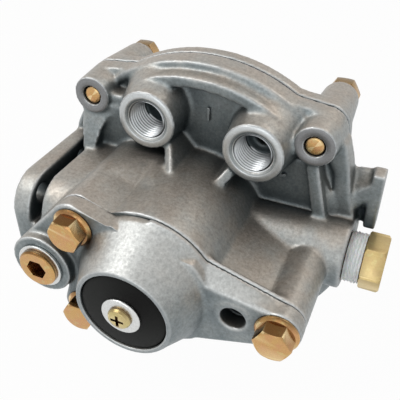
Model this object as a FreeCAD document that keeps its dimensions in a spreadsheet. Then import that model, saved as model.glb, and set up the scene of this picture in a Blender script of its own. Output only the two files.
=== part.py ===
import FreeCAD, Part
import math
import os
import re
import Sketcher

# Emergency relay valve of a trailer air brake, in millimetres.
# The valve is drawn about its main axis: X to the side plug, Y from the exhaust
# to the relay cover, Z up, with the exhaust rim at Y = 0. Each sub-part's
# Placement then brings the centre of the mounting face to the origin.

os.makedirs("parts", exist_ok=True)

doc = FreeCAD.newDocument("emergency_relay_valve")
sheet = doc.addObject("Spreadsheet::Sheet", "Sizes")

SIZES = {
    # Exhaust end
    "rim_radius": 20.0,
    "rim_wall": 1.9,
    "rim_depth": 3.4,
    "web_thickness": 3.4,
    "barrel_radius": 28.6,
    "lip_radius": 30.6,
    "lip_width": 2.2,
    "cover_depth": 21.5,
    "arm_thickness": 7.0,
    "flap_thickness": 3.0,
    "flap_gap": 0.35,
    "exhaust_window_radius": 2.7,
    "exhaust_window_circle": 10.6,
    "exhaust_cavity_radius": 16.5,
    "washer_radius": 8.1,
    "washer_thickness": 1.2,
    "flap_screw_head_radius": 4.7,
    "flap_screw_head_height": 2.3,
    "flap_screw_shank_radius": 2.0,
    "flap_screw_length": 6.5,
    # Lower bolts and arm
    "lobe_x": 27.6,
    "lobe_z": 21.5,
    "lobe_radius": 10.3,
    "arm_bolt_inset": 14.1,
    "arm_bolt_x": "side_port_face_x - arm_bolt_inset",
    "arm_radius": 8.9,
    "arm_root_radius": 25.2,
    "arm_front_root_top": 13.9,
    "arm_front_root_bottom": 22.4,
    "arm_front_end_top": 7.6,
    "arm_front_end_bottom": 8.1,
    "arm_root_x": 10.0,
    "arm_hole_spacing": 16.9,
    "arm_hole_x": "arm_bolt_x - arm_hole_spacing",
    "arm_hole_radius": 4.9,
    "arm_hole_depth": 14.0,
    "bolt_radius": 3.9,
    "tapped_gap": 0.06,
    "bolt_hexagon": 12.7,
    "bolt_head_height": 5.6,
    "bolt_flange_radius": 8.5,
    "bolt_flange_height": 1.6,
    "lower_bolt_length": 28.0,
    # Socket plug and check valve
    "plug_boss_x": 43.5,
    "plug_boss_radius": 13.5,
    "plug_boss_rise": 4.0,
    "plug_bore_radius": 7.5,
    "plug_bore_depth": 15.0,
    "plug_head_radius": 8.5,
    "plug_head_height": 2.2,
    "plug_shank_length": 11.0,
    "plug_socket_hexagon": 8.0,
    "plug_socket_depth": 5.0,
    "plug_washer_radius": 10.0,
    "plug_washer_thickness": 1.2,
    "check_valve_length": 5.0,
    "check_valve_gap": 0.1,
    "check_passage_radius": 4.0,
    "check_face_thickness": 1.0,
    "check_travel": 2.5,
    "check_spring_radius": 4.4,
    "check_spring_wire": 0.6,
    # Main casting
    "tube_radius": 31.0,
    "panel_y": 75.0,
    "inner_panel_y": 72.0,
    "flange_y": 83.0,
    "flange_radius": 69.5,
    "inner_panel_inset": 7.5,
    "inner_panel_radius": "flange_radius - inner_panel_inset",
    "rim_ring_width": 3.6,
    "rim_ring_rise": 2.0,
    "inner_ring_inset": 3.5,
    "inner_ring_width": 5.0,
    "inner_ring_outer_radius": "flange_radius - inner_ring_inset",
    "inner_ring_inner_radius": "inner_ring_outer_radius - inner_ring_width",
    "inner_ring_rise": 9.0,
    "lug_inset": 0.7,
    "lug_circle_radius": "flange_radius - lug_inset",
    "lug_angle": 43.7,
    "lug_front_y": 65.0,
    "lug_radius": 8.3,
    "lug_column_radius": 9.5,
    "ear_rise": 5.8,
    "ear_reach_angle": 14.0,
    "ear_tip_angle": 5.6,
    "arm_web_root_radius": 20.7,
    "arm_web_end_radius": 4.4,
    "arm_lip_thickness": 2.2,
    "port_inset": 19.05,
    "port_circle_radius": "flange_radius - port_inset",
    "port_a_angle": 111.4,
    "port_b_angle": 57.0,
    "port_front_y": 59.0,
    "port_face_radius": 12.7,
    "port_base_radius": 14.2,
    "port_saddle_shift": 3.2,
    "port_saddle_radius": 15.5,
    "port_chamfer": 1.2,
    "port_bore_radius": 8.3,
    "port_bore_depth": 14.6,
    "port_passage_radius": 3.5,
    "port_web_thickness": 4.4,
    "port_web_start_y": 61.0,
    "port_web_reach": 21.0,
    "port_a_web_foot_y": 50.0,
    "port_b_web_foot_y": 54.0,
    "supply_passage_radius": 3.0,
    "supply_passage_y": 70.2,
    "side_rib_front_y": 66.5,
    "side_wall_front_y": 73.0,
    "left_web_front_y": 66.8,
    "left_web_foot_y": 59.0,
    "left_shoulder_front_y": 66.0,
    "lug_web_thickness": 6.5,
    "side_port_y": 66.0,
    "side_port_radius": 14.4,
    "side_port_inset": 0.5,
    "side_port_face_x": "flange_radius - side_port_inset",
    "side_bore_radius": 9.9,
    "side_seat_radius": 12.5,
    "side_bore_depth": 22.0,
    "side_passage_radius": 7.0,
    "mount_plate_face_x": 63.5,
    "mount_plate_thickness": 8.4,
    "mount_flat_gap": 0.4,
    "mount_plate_setback": 0.3,
    "mount_plate_front_y": "cover_depth + mount_plate_setback",
    "mount_plate_half_height": 26.9,
    "mount_plate_corner": 16.0,
    "mount_block_x": 50.0,
    "mount_block_setback": 1.1,
    "mount_block_front_y": "cover_depth + mount_block_setback",
    "mount_block_half_height": 26.6,
    "mount_block_corner": 15.0,
    "mount_port_y": 48.0,
    "mount_boss_radius": 17.0,
    "mount_bore_radius": 12.0,
    "mount_bore_depth": 15.0,
    "mount_passage_radius": 3.2,
    "mount_passage_y": 40.0,
    "mount_passage_z": 8.0,
    "mount_hole_radius": 4.2,
    "mount_hole_y_reach": 15.0,
    "mount_hole_z_reach": 18.0,
    "wing_gap": 2.3,
    "wing_thickness": 5.0,
    "wing_inner_x": "flange_radius + wing_gap",
    "wing_outer_x": "wing_inner_x + wing_thickness",
    "wing_front_y": 75.0,
    "wing_top_z": 34.7,
    "wing_bottom_z": 8.5,
    # Bores on the main axis
    "front_bore_radius": 25.0,
    "seat_y": 50.0,
    "seat_web_thickness": 4.0,
    "seat_bore_radius": 11.0,
    "seat_lip_width": 1.5,
    "seat_lip_rise": 1.0,
    "rear_bore_radius": 22.0,
    "dish_gap": 1.5,
    "dish_radius": "cover_bore_radius + dish_gap",
    "dish_y": 76.0,
    "ring_groove_radius": 26.1,
    # Relay cover
    "cover_flange_thickness": 7.0,
    "cover_bore_inset": 27.5,
    "cover_bore_radius": "flange_radius - cover_bore_inset",
    "cover_wall": 6.0,
    "cover_bore_end_y": 104.0,
    "cover_end_y": 110.0,
    "cover_stop_radius": 8.0,
    "cover_rib_width": 6.0,
    "cover_bolt_radius": 3.9,
    "cover_bolt_flange_radius": 7.4,
    "cover_lug_end_radius": 7.9,
    "cover_bolt_hole_radius": 4.3,
    "cover_bolt_length": 42.5,
    "gasket_thickness": 0.8,
    # Moving pieces
    "relay_piston_clearance": 0.07,
    "relay_piston_front_y": 88.0,
    "relay_piston_thickness": 8.5,
    "relay_piston_web": 3.5,
    "relay_piston_rim": 6.0,
    "relay_piston_hollow_radius": "cover_bore_radius - relay_piston_rim",
    "relay_stem_radius": 7.0,
    "relay_travel": 2.3,
    "relay_contact_gap": 0.1,
    "seal_section": 2.6,
    "seal_gap": 0.3,
    "valve_head_radius": 15.0,
    "valve_head_thickness": 3.0,
    "valve_rubber_thickness": 2.0,
    "valve_tube_radius": 8.0,
    "valve_tube_bore_radius": 5.5,
    "valve_tube_inset": 0.2,
    "valve_tube_front_y": "guide_front_y + valve_tube_inset",
    "inlet_travel": 2.5,
    "inlet_spring_radius": 12.2,
    "inlet_spring_wire": 0.9,
    "guide_gap": 0.2,
    "guide_front_y": "ring_front_y + ring_thickness + guide_gap",
    "guide_flange_thickness": 4.2,
    "guide_flange_gap": 0.05,
    "guide_hub_radius": 10.2,
    "guide_hub_length": 14.0,
    "guide_bore_gap": 0.06,
    "ring_gap": 0.9,
    "ring_front_y": "cover_depth + ring_gap",
    "ring_thickness": 1.2,
    "ring_inner_radius": 23.4,
    "emergency_inner_radius": 15.6,
    "emergency_length": 7.0,
    "emergency_clearance": 0.07,
    "emergency_rest_gap": 0.3,
    "emergency_travel": 4.0,
    "emergency_spring_radius": 20.0,
    "emergency_spring_wire": 1.1,
    # Side plug
    "side_plug_hexagon": 21.0,
    "side_plug_hex_start": 7.0,
    "side_plug_hex_length": 8.4,
    "side_plug_thread_length": 11.0,
    "side_plug_thread_gap": 0.1,
    "tape_radius": 10.5,
    "tape_length": 6.6,
    "tape_thickness": 0.5,
}

for row, (alias, value) in enumerate(SIZES.items(), start=1):
    cell = f"B{row}"
    sheet.set(f"A{row}", alias.replace("_", " "))
    sheet.set(cell, f"={value}")
    sheet.setAlias(cell, alias)
doc.recompute()

WORD = re.compile(r"[a-z_]+")
TURN_Y = FreeCAD.Rotation(FreeCAD.Vector(1, 0, 0), -90)
TURN_X = FreeCAD.Rotation(FreeCAD.Vector(0, 1, 0), 90)
TURN_MINUS_Y = FreeCAD.Rotation(FreeCAD.Vector(1, 0, 0), 90)
HEXAGON = 6
EXHAUST_WINDOWS = 6
LUGS = 4


def linked(text):
    """The expression with each size written as the sheet's cell."""
    return WORD.sub(lambda word: "Sizes." + word.group() if word.group() in SIZES else word.group(),
        str(text))


def size(text):
    """The value of an expression in the sheet's sizes."""
    return float(sheet.evalExpression(linked(text)))


def bind(item, **expressions):
    for name, text in expressions.items():
        item.setExpression(name, linked(text))


def place(item, x="0", y="0", z="0", rotation=None):
    """Put an object at a place worked out from the sheet."""
    if rotation is not None:
        item.Placement.Rotation = rotation
    item.setExpression("Placement.Base.x", linked(x))
    item.setExpression("Placement.Base.y", linked(y))
    item.setExpression("Placement.Base.z", linked(z))


def cylinder(name, radius, start, end, x="0", z="0"):
    """A cylinder along Y from start to end."""
    item = doc.addObject("Part::Cylinder", name)
    bind(item, Radius=radius, Height=f"({end}) - ({start})")
    place(item, x, start, z, TURN_Y)
    return item


def side_cylinder(name, radius, start, end, y="0", z="0"):
    """A cylinder along X from start to end."""
    item = doc.addObject("Part::Cylinder", name)
    bind(item, Radius=radius, Height=f"({end}) - ({start})")
    place(item, start, y, z, TURN_X)
    return item


def cone(name, start_radius, end_radius, start, end, x="0", z="0"):
    """A cone along Y from start to end."""
    item = doc.addObject("Part::Cone", name)
    bind(item, Radius1=start_radius, Radius2=end_radius, Height=f"({end}) - ({start})")
    place(item, x, start, z, TURN_Y)
    return item


def box(name, low, high):
    """A block between two corners, each given as three expressions."""
    item = doc.addObject("Part::Box", name)
    bind(item, Length=f"({high[0]}) - ({low[0]})", Width=f"({high[1]}) - ({low[1]})",
         Height=f"({high[2]}) - ({low[2]})")
    place(item, *low)
    return item


def prism(name, flats, start, end, x="0", z="0"):
    """A hexagon along Y from start to end."""
    item = doc.addObject("Part::Prism", name)
    item.Polygon = HEXAGON
    bind(item, Circumradius=f"({flats}) / 2 / cos(30deg)", Height=f"({end}) - ({start})")
    place(item, x, start, z, TURN_Y)
    return item


def fuse(name, shapes):
    item = doc.addObject("Part::MultiFuse", name)
    item.Shapes = shapes
    item.Refine = True
    return item


def cut(name, base, tools):
    """The base less the tools."""
    item = doc.addObject("Part::Cut", name)
    item.Base = base
    item.Tool = tools[0] if len(tools) == 1 else fuse(name + "_tools", tools)
    item.Refine = True
    return item


def common(name, shapes):
    item = doc.addObject("Part::MultiCommon", name)
    item.Shapes = shapes
    return item


def new_sketch(body, role, name="Outline"):
    """A sketch on one of the body's own origin planes."""
    sketch = body.newObject("Sketcher::SketchObject", f"{body.Name}_{name}")
    plane = [item for item in body.Origin.OriginFeatures if item.Role == role][0]
    sketch.AttachmentSupport = [(plane, "")]
    sketch.MapMode = "FlatFace"
    return sketch


def hold(sketch, line, end, x, y):
    """Dimension one end of a line from the sketch's origin."""
    for kind, text, axis in (("DistanceX", x, -2), ("DistanceY", y, -1)):
        if abs(size(text)) < 1e-9:
            sketch.addConstraint(Sketcher.Constraint("PointOnObject", line, end, axis))
        else:
            index = sketch.addConstraint(Sketcher.Constraint(kind, -1, 1, line, end, size(text)))
            sketch.setExpression(f"Constraints[{index}]", linked(text))


def draw_outline(sketch, corners):
    """A closed outline of straight lines through the corners."""
    points = [FreeCAD.Vector(size(x), size(y), 0) for x, y in corners]
    count = len(points)
    for index in range(count):
        sketch.addGeometry(Part.LineSegment(points[index], points[(index + 1) % count]))
    for index in range(count):
        sketch.addConstraint(Sketcher.Constraint("Coincident", index, 2, (index + 1) % count, 1))
    for index, (x, y) in enumerate(corners):
        hold(sketch, index, 1, x, y)


def turned(name, corners, x="0", z="0"):
    """A turned piece: corners are (radius, Y) pairs, revolved about the Y axis."""
    body = doc.addObject("PartDesign::Body", name)
    sketch = new_sketch(body, "XY_Plane")
    draw_outline(sketch, corners)
    turn = body.newObject("PartDesign::Revolution", f"{name}_Turn")
    turn.Profile = (sketch, [""])
    turn.ReferenceAxis = (sketch, ["V_Axis"])
    turn.Angle = 360
    body.Tip = turn
    place(body, x, "0", z)
    return body


def plate(name, corners, start, end):
    """A flat plate between two Y values: corners are (X, Z) pairs."""
    body = doc.addObject("PartDesign::Body", name)
    sketch = new_sketch(body, "XZ_Plane")
    draw_outline(sketch, corners)
    pad = body.newObject("PartDesign::Pad", f"{name}_Pad")
    pad.Profile = (sketch, [""])
    pad.Reversed = True
    bind(pad, Length=f"({end}) - ({start})")
    body.Tip = pad
    place(body, "0", start, "0")
    return body


def link(name, first, second, start, end):
    """Two round ends joined by their outer tangents: each end is (X, Z, radius)."""
    body = doc.addObject("PartDesign::Body", name)
    sketch = new_sketch(body, "XZ_Plane")
    ends = [tuple(size(text) for text in circle) for circle in (first, second)]
    (x1, z1, r1), (x2, z2, r2) = ends
    heading = math.atan2(z2 - z1, x2 - x1)
    lean = math.acos((r1 - r2) / math.hypot(x2 - x1, z2 - z1))
    upper, lower = heading + lean, heading - lean
    touch = [[FreeCAD.Vector(x + r * math.cos(turn), z + r * math.sin(turn), 0) for turn in (upper, lower)]
             for x, z, r in ends]
    axis = FreeCAD.Vector(0, 0, 1)
    first_circle = Part.Circle(FreeCAD.Vector(x1, z1, 0), axis, r1)
    second_circle = Part.Circle(FreeCAD.Vector(x2, z2, 0), axis, r2)
    full = 2 * math.pi
    sketch.addGeometry(Part.ArcOfCircle(first_circle, upper, lower + full))
    sketch.addGeometry(Part.ArcOfCircle(second_circle, lower, upper))
    sketch.addGeometry(Part.LineSegment(touch[0][1], touch[1][1]))
    sketch.addGeometry(Part.LineSegment(touch[1][0], touch[0][0]))
    for arc, arc_end, line, line_end in ((0, 2, 2, 1), (2, 2, 1, 1), (1, 2, 3, 1), (3, 2, 0, 1)):
        sketch.addConstraint(Sketcher.Constraint("Tangent", arc, arc_end, line, line_end))
    for arc, circle in ((0, first), (1, second)):
        hold(sketch, arc, 3, circle[0], circle[1])
        index = sketch.addConstraint(Sketcher.Constraint("Radius", arc, size(circle[2])))
        sketch.setExpression(f"Constraints[{index}]", linked(circle[2]))
    pad = body.newObject("PartDesign::Pad", f"{name}_Pad")
    pad.Profile = (sketch, [""])
    pad.Reversed = True
    bind(pad, Length=f"({end}) - ({start})")
    body.Tip = pad
    place(body, "0", start, "0")
    return body


def loft(name, front_corners, front, back_corners, back):
    """A solid between two outlines on planes across Y: corners are (X, Z) pairs."""
    profiles = []
    for side, corners, level in (("front", front_corners, front), ("back", back_corners, back)):
        sketch = doc.addObject("Sketcher::SketchObject", f"{name}_{side}")
        draw_outline(sketch, corners)
        place(sketch, "0", level, "0", TURN_MINUS_Y)
        profiles.append(sketch)
    item = doc.addObject("Part::Loft", name)
    item.Sections = profiles
    item.Solid = True
    item.Ruled = True
    return item


def fin(name, corners, thickness, x, z, heading):
    """An upright web that leaves a point at a heading: corners are (reach, Y) pairs."""
    body = doc.addObject("PartDesign::Body", name)
    sketch = new_sketch(body, "XY_Plane")
    draw_outline(sketch, corners)
    pad = body.newObject("PartDesign::Pad", f"{name}_Pad")
    pad.Profile = (sketch, [""])
    pad.Midplane = True
    bind(pad, Length=thickness)
    body.Tip = pad
    place(body, x, "0", z, FreeCAD.Rotation(FreeCAD.Vector(0, 1, 0), -size(heading)))
    return body


def coil(name, radius, wire, start, end, turns, x="0"):
    """A compression spring on an axis along Y, its wire six-sided."""
    steps = 12
    coil_radius, wire_radius = size(radius), size(wire)
    first = size(start) + wire_radius
    rise = size(end) - size(start) - 2 * wire_radius
    sections = []
    for step in range(turns * steps + 1):
        swing = 2 * math.pi * step / steps
        height = first + rise * step / (turns * steps)
        corners = []
        for side in range(HEXAGON + 1):
            around = 2 * math.pi * side / HEXAGON
            reach = coil_radius + wire_radius * math.cos(around)
            level = height + wire_radius * math.sin(around)
            corners.append(FreeCAD.Vector(reach * math.cos(swing), level, reach * math.sin(swing)))
        sections.append(Part.makePolygon(corners))
    item = doc.addObject("Part::Feature", name)
    item.Shape = Part.makeLoft(sections, True, True)
    place(item, x)
    return item


def polar(radius, angle):
    """X and Z expressions of a place at a radius and an angle from +X."""
    return f"({radius}) * cos(({angle}) * 1deg)", f"({radius}) * sin(({angle}) * 1deg)"


LUG_ANGLES = [f"lug_angle + {90 * quarter}" for quarter in range(LUGS)]
LOBES = [("-lobe_x", "lobe_z"), ("-lobe_x", "-lobe_z"), ("arm_bolt_x", "0")]
PORTS = {"a": "port_a_angle", "b": "port_b_angle"}
ARM_FRONT = "(cover_depth - arm_thickness)"
BOSS_FRONT = "(cover_depth - arm_thickness - plug_boss_rise)"
CHECK_SEAT = f"({BOSS_FRONT} + plug_bore_depth + check_travel + check_valve_length + check_face_thickness)"


def foot_print(name, start, end, circle_radius):
    """The outline that the exhaust cover and the body share at their joint."""
    centre = ("0", "0", circle_radius)
    upper = ("-lobe_x", "lobe_z", "lobe_radius")
    lower = ("-lobe_x", "-lobe_z", "lobe_radius")
    return [
        link(f"{name}_upper_lobe", centre, upper, start, end),
        link(f"{name}_lower_lobe", centre, lower, start, end),
        link(f"{name}_plug_side", upper, ("-plug_boss_x", "0", "plug_boss_radius"), start, end),
        link(f"{name}_plug_root", centre, ("-plug_boss_x", "0", "plug_boss_radius"), start, end),
        link(f"{name}_arm", ("0", "0", "arm_root_radius"), ("arm_bolt_x", "0", "arm_radius"), start, end),
    ]


def make_exhaust_cover():
    """Cast cap with the exhaust opening, three bolt seats and the plug boss."""
    barrel = turned("cover_barrel", [
        ("0", "rim_depth"), ("rim_radius - rim_wall", "rim_depth"), ("rim_radius - rim_wall", "0"),
        ("rim_radius - 0.5", "0"), ("rim_radius", "0.5"),
        ("barrel_radius", "cover_depth - lip_width - 2"), ("barrel_radius + 0.8", "cover_depth - lip_width"),
        ("lip_radius", "cover_depth - lip_width"), ("lip_radius", "cover_depth"),
        ("exhaust_cavity_radius", "cover_depth"), ("exhaust_cavity_radius", "rim_depth + web_thickness"),
        ("0", "rim_depth + web_thickness")])
    flange = foot_print("cover_flange", ARM_FRONT, "cover_depth", "lip_radius - 1.2")[:3]
    arm = loft("cover_arm", [
        ("arm_root_x", "arm_front_root_top"), ("arm_bolt_x", "arm_front_end_top"),
        ("arm_bolt_x", "-arm_front_end_bottom"), ("arm_root_x", "-arm_front_root_bottom")], ARM_FRONT, [
        ("arm_root_x", "arm_root_radius - 2.2"), ("arm_bolt_x", "arm_radius + 0.2"),
        ("arm_bolt_x", "-arm_radius - 0.2"), ("arm_root_x", "2.2 - arm_root_radius")], "cover_depth")
    arm_end = cylinder("cover_arm_end", "arm_radius", ARM_FRONT, "cover_depth", "arm_bolt_x")
    boss = cylinder("cover_plug_boss", "plug_boss_radius", BOSS_FRONT, "cover_depth", "-plug_boss_x")
    pad = cylinder("cover_hole_pad", "arm_hole_radius + 2.4", f"{ARM_FRONT} - 0.5", "cover_depth",
        "arm_hole_x")
    outside = fuse("cover_outside", [barrel, *flange, arm, arm_end, boss, pad])
    tools = [cylinder("cover_cavity", "exhaust_cavity_radius", "rim_depth + web_thickness",
        "cover_depth + 1"),
             cylinder("cover_recess", "rim_radius - rim_wall", "-1", "rim_depth"),
             cylinder("cover_screw_hole", "flap_screw_shank_radius + tapped_gap", "0", "cover_depth"),
             cylinder("cover_arm_hole", "arm_hole_radius", "0", "cover_depth + 1", "arm_hole_x"),
             cylinder("cover_plug_bore", "plug_bore_radius", "0", "cover_depth + 1", "-plug_boss_x"),
             turned("cover_seal_groove", [
                 ("front_bore_radius + 1.6", "cover_depth - 1.9"),
                 ("front_bore_radius + 4.0", "cover_depth - 1.9"),
                 ("front_bore_radius + 4.0", "cover_depth + 1"),
                 ("front_bore_radius + 1.6", "cover_depth + 1")])]
    for index, (x, z) in enumerate(LOBES):
        tools.append(cylinder(f"cover_bolt_hole_{index}", "bolt_radius + 0.3", "0", "cover_depth + 1", x, z))
        tools.append(cylinder(f"cover_bolt_seat_{index}", "bolt_flange_radius + 0.3", "0", ARM_FRONT, x, z))
    for index in range(EXHAUST_WINDOWS):
        x, z = polar("exhaust_window_circle", f"{360 // EXHAUST_WINDOWS * index + 30}")
        tools.append(cylinder(f"cover_window_{index}", "exhaust_window_radius", "0", "cover_depth", x, z))
    return cut("exhaust_cover", outside, tools)


def make_flap():
    """Rubber exhaust flap, its washer and its cross-head screw."""
    outer = "rim_radius - rim_wall - flap_gap"
    front = "(rim_depth - flap_thickness)"
    flap = turned("exhaust_flap", [
        ("flap_screw_shank_radius + 0.2", "rim_depth"), (outer, "rim_depth"), (outer, front),
        ("washer_radius + 2", f"{front} - 0.5"), ("washer_radius", f"{front} - 0.6"),
        ("flap_screw_shank_radius + 0.2", f"{front} - 0.6")])
    washer_back = f"({front} - 0.6)"
    washer = turned("flap_washer", [
        ("flap_screw_shank_radius + 0.2", washer_back), ("washer_radius", washer_back),
        ("washer_radius", f"{washer_back} - washer_thickness + 0.4"),
        ("washer_radius - 0.4", f"{washer_back} - washer_thickness"),
        ("flap_screw_shank_radius + 0.2", f"{washer_back} - washer_thickness")])
    seat = f"({washer_back} - washer_thickness)"
    body = turned("flap_screw_blank", [
        ("0", f"{seat} - flap_screw_head_height"),
        ("flap_screw_head_radius - 2", f"{seat} - flap_screw_head_height"),
        ("flap_screw_head_radius - 0.6", f"{seat} - flap_screw_head_height * 0.75"),
        ("flap_screw_head_radius", f"{seat} - flap_screw_head_height * 0.35"),
        ("flap_screw_head_radius", seat), ("flap_screw_shank_radius", seat),
        ("flap_screw_shank_radius", f"{seat} + flap_screw_length + 1.8"),
        ("0", f"{seat} + flap_screw_length + 1.8")])
    top = f"{seat} - flap_screw_head_height"
    slots = [box("screw_slot_wide", ("-2.7", f"{top} - 1", "-0.6"), ("2.7", f"{top} + 1.5", "0.6")),
             box("screw_slot_high", ("-0.6", f"{top} - 1", "-2.7"), ("0.6", f"{top} + 1.5", "2.7"))]
    screw = cut("flap_screw", body, slots)
    return [flap, washer, screw]


def bolt(name, x, z, seat, length, radius, flange, direction):
    """Hexagon head bolt with a flange; it runs along +Y or -Y from its seat."""
    blank = turned(f"{name}_blank", [
        ("0", "-bolt_flange_height - bolt_head_height"),
        ("bolt_hexagon / 2 - 0.2", "-bolt_flange_height - bolt_head_height"),
        ("bolt_hexagon / 2 + 1.8", "-bolt_flange_height - bolt_head_height + 1.2"),
        ("bolt_hexagon / 2 + 1.8", "-bolt_flange_height"), ("0", "-bolt_flange_height")])
    hexagon = prism(f"{name}_hexagon", "bolt_hexagon", "-bolt_flange_height - bolt_head_height",
        "-bolt_flange_height")
    head = common(f"{name}_head", [blank, hexagon])
    shank = turned(f"{name}_shank", [
        ("0", "-bolt_flange_height"), (f"{flange} - 1.2", "-bolt_flange_height"),
        (flange, "-bolt_flange_height + 1"), (flange, "0"), (radius, "0"),
        (radius, f"{length} - 0.8"), (f"{radius} - 0.8", length), ("0", length)])
    whole = fuse(name, [head, shank])
    rotation = FreeCAD.Rotation() if direction > 0 else FreeCAD.Rotation(FreeCAD.Vector(0, 0, 1), 180)
    place(whole, x, seat, z, rotation)
    return whole


def group(name, solids):
    """Like pieces kept together as separate solids."""
    item = doc.addObject("Part::Compound", name)
    item.Links = solids
    return item


def make_bolts():
    lower = [bolt(f"lower_bolt_{index}", x, z, ARM_FRONT, "lower_bolt_length", "bolt_radius",
        "bolt_flange_radius", 1)
             for index, (x, z) in enumerate(LOBES)]
    upper = [bolt(f"upper_bolt_{index}", *polar("lug_circle_radius", angle), "cover_end_y",
        "cover_bolt_length",
                  "cover_bolt_radius", "cover_bolt_flange_radius", -1) for index,
                  angle in enumerate(LUG_ANGLES)]
    return [group("exhaust_cover_bolts", lower), group("relay_cover_bolts", upper)]


def port_solids(name, angle, heading):
    """Threaded boss on the front of the big flange, with its web down to the tube."""
    x, z = polar("port_circle_radius", angle)
    boss = cone(f"port_{name}_boss", "port_face_radius", "port_base_radius", "port_front_y", "flange_y", x,
        z)
    mouth = ring_line(f"port_{name}_saddle_front", "port_face_radius - 0.1", x, "port_front_y + 1.2", z)
    outer = polar("port_circle_radius + port_saddle_shift", angle)
    root = ring_line(f"port_{name}_saddle_back", "port_saddle_radius", outer[0], "panel_y", outer[1])
    saddle = doc.addObject("Part::Loft", f"port_{name}_saddle")
    saddle.Sections = [mouth, root]
    saddle.Solid = True
    web = fin(f"port_{name}_web", [
        ("0", "port_web_start_y"), ("port_face_radius", "port_web_start_y"),
        ("port_web_reach", f"port_{name}_web_foot_y"), ("port_web_reach + 4", f"port_{name}_web_foot_y"),
        ("port_web_reach + 4", "panel_y"), ("0", "panel_y")], "port_web_thickness", x, z, heading)
    return [boss, saddle, web]


def ring_line(name, radius, x, y, z):
    """A circle across the main axis, for lofts."""
    item = doc.addObject("Part::Circle", name)
    bind(item, Radius=radius)
    place(item, x, y, z, FreeCAD.Rotation(FreeCAD.Vector(1, 0, 0), -90))
    return item


def ear(name, angle, start, end):
    """Straight-sided ear that joins a bolt lug to the round flange."""
    tip, reach = "ear_tip_angle", "ear_reach_angle"
    return plate(name, [
        polar("0.8 * flange_radius", f"{angle} - {reach}"), polar("flange_radius", f"{angle} - {reach}"),
        polar("flange_radius + ear_rise", f"{angle} - {tip}"),
        polar("flange_radius + ear_rise", f"{angle} + {tip}"),
        polar("flange_radius", f"{angle} + {reach}"), polar("0.8 * flange_radius", f"{angle} + {reach}")],
        start, end)


def mount_clearance(name):
    """What is cut from the round flange so that it stays behind the mounting face."""
    return box(name, ("-1.5 * flange_radius", "panel_y - 10", "-mount_plate_half_height - 8"),
               ("mount_flat_gap - mount_plate_face_x", "cover_end_y", "mount_plate_half_height + 8"))


def side_plate(name, corners, start, end):
    """A plate across X with an outline in Y and Z."""
    body = doc.addObject("PartDesign::Body", name)
    sketch = new_sketch(body, "YZ_Plane")
    draw_outline(sketch, corners)
    pad = body.newObject("PartDesign::Pad", f"{name}_Pad")
    pad.Profile = (sketch, [""])
    bind(pad, Length=f"{end} - ({start})")
    body.Tip = pad
    place(body, start, "0", "0")
    return body


def rim():
    """Round flange with its ears and raised rings, flat behind the mounting face."""
    solids = [cylinder("body_flange", "flange_radius", "panel_y", "flange_y")]
    panel = cylinder("body_panel_disc", "inner_panel_radius", "inner_panel_y", "flange_y")
    pockets = [plate(f"body_panel_pocket_{index}", [
        polar("0.8 * flange_radius", low), polar("1.1 * flange_radius", low),
        polar("1.1 * flange_radius", high), polar("0.8 * flange_radius", high)], "inner_panel_y - 1",
        "panel_y")
        for index, (low, high) in enumerate((("40", "port_b_angle"), ("port_a_angle", "137")))]
    solids.append(cut("body_panel", panel, pockets))
    solids.append(turned("body_rim_ring", [
        ("flange_radius - rim_ring_width", "panel_y - rim_ring_rise"),
        ("flange_radius", "panel_y - rim_ring_rise"),
        ("flange_radius", "flange_y"), ("flange_radius - rim_ring_width", "flange_y")]))
    solids.extend(ear(f"body_ear_{index}", angle, "panel_y", "flange_y") for index,
        angle in enumerate(LUG_ANGLES))
    return cut("body_rim", fuse("body_rim_round", solids), [mount_clearance("body_mount_clearance")])


def make_valve_body():
    """Main casting: tube, bolt columns, big flange, ports and mounting plate."""
    solids = foot_print("body_foot", "cover_depth", "panel_y + 1", "tube_radius - 0.8")[:4]
    solids.append(foot_print("body_lip", "cover_depth", "cover_depth + arm_lip_thickness",
        "tube_radius - 0.8")[4])
    solids.append(link("body_arm_web", ("0", "0", "arm_web_root_radius"),
        ("arm_bolt_x", "0", "arm_web_end_radius"),
                       "cover_depth", "panel_y + 1"))
    solids.append(cylinder("body_arm_column", "arm_radius", "cover_depth", "side_port_y - 2", "arm_bolt_x"))
    solids.append(cylinder("body_tube", "tube_radius", "cover_depth", "flange_y"))
    solids.append(side_cylinder("body_side_boss", "side_port_radius", "0", "side_port_face_x",
        "side_port_y"))
    solids.append(rim())
    ring = turned("body_inner_ring", [
        ("inner_ring_inner_radius", "panel_y - inner_ring_rise"),
        ("inner_ring_outer_radius", "panel_y - inner_ring_rise"),
        ("inner_ring_outer_radius", "flange_y"), ("inner_ring_inner_radius", "flange_y")])
    sector = plate("body_ring_sector", [
        ("0", "0"), polar("1.6 * flange_radius", "port_b_angle"), polar("1.6 * flange_radius", "84"),
        polar("1.6 * flange_radius", "port_a_angle")], "panel_y - inner_ring_rise", "flange_y")
    solids.append(common("body_ring_part", [ring, sector]))
    for index, angle in enumerate(LUG_ANGLES):
        x, z = polar("lug_circle_radius", angle)
        solids.append(cone(f"body_lug_{index}", "lug_radius", "lug_column_radius", "lug_front_y", "flange_y",
            x, z))
        if index >= 2:
            solids.append(fin(f"body_lug_web_{index}", [
                ("tube_radius - 3", "lug_front_y - 8"), ("tube_radius + 2", "lug_front_y - 8"),
                ("lug_circle_radius", "lug_front_y + 3"), ("lug_circle_radius", "flange_y"),
                ("tube_radius - 3", "flange_y")], "lug_web_thickness", "0", "0", angle))
    solids.extend(port_solids("a", "port_a_angle", "-50"))
    solids.extend(port_solids("b", "port_b_angle", "-129"))
    solids.extend(rim_walls())
    solids.extend(mounting_plate())
    solids.extend(wing())
    outside = fuse("body_outside", solids)
    return cut("valve_body", outside, body_cavities())


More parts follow.
